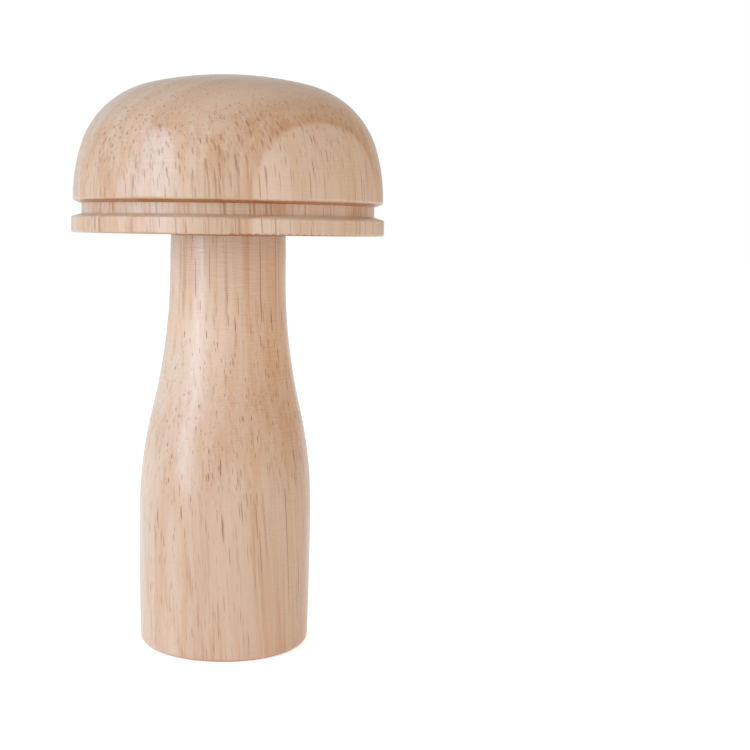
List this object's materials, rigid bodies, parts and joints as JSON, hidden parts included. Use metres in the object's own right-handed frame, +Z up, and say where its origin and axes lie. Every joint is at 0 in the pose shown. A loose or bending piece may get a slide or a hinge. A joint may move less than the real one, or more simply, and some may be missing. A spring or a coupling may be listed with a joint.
{
  "type": "darning mushroom",
  "caption": "Turned wooden darning mushroom: a domed head with a groove for an elastic band, on a full-bellied handle with a wool pincushion in its foot.",
  "frame": {"origin": "centre of the foot, on the plane that the mushroom stands on", "axes": "+Z up along the turning axis, from the foot to the top of the dome; the object is round, so X and Y are alike"},
  "size_m": [0.075, 0.075, 0.1367],
  "materials": {
    "head_wood": "satin clear coat",
    "handle_wood": "satin clear coat",
    "dowel_wood": "bare, fluted",
    "wool_fleece": "combed wool, matt"
  },
  "bodies": {
    "root": {"head": "head_wood", "handle": "handle_wood", "dowel_pin": "dowel_wood", "wool_pincushion": "wool_fleece"}
  },
  "joints": []
}
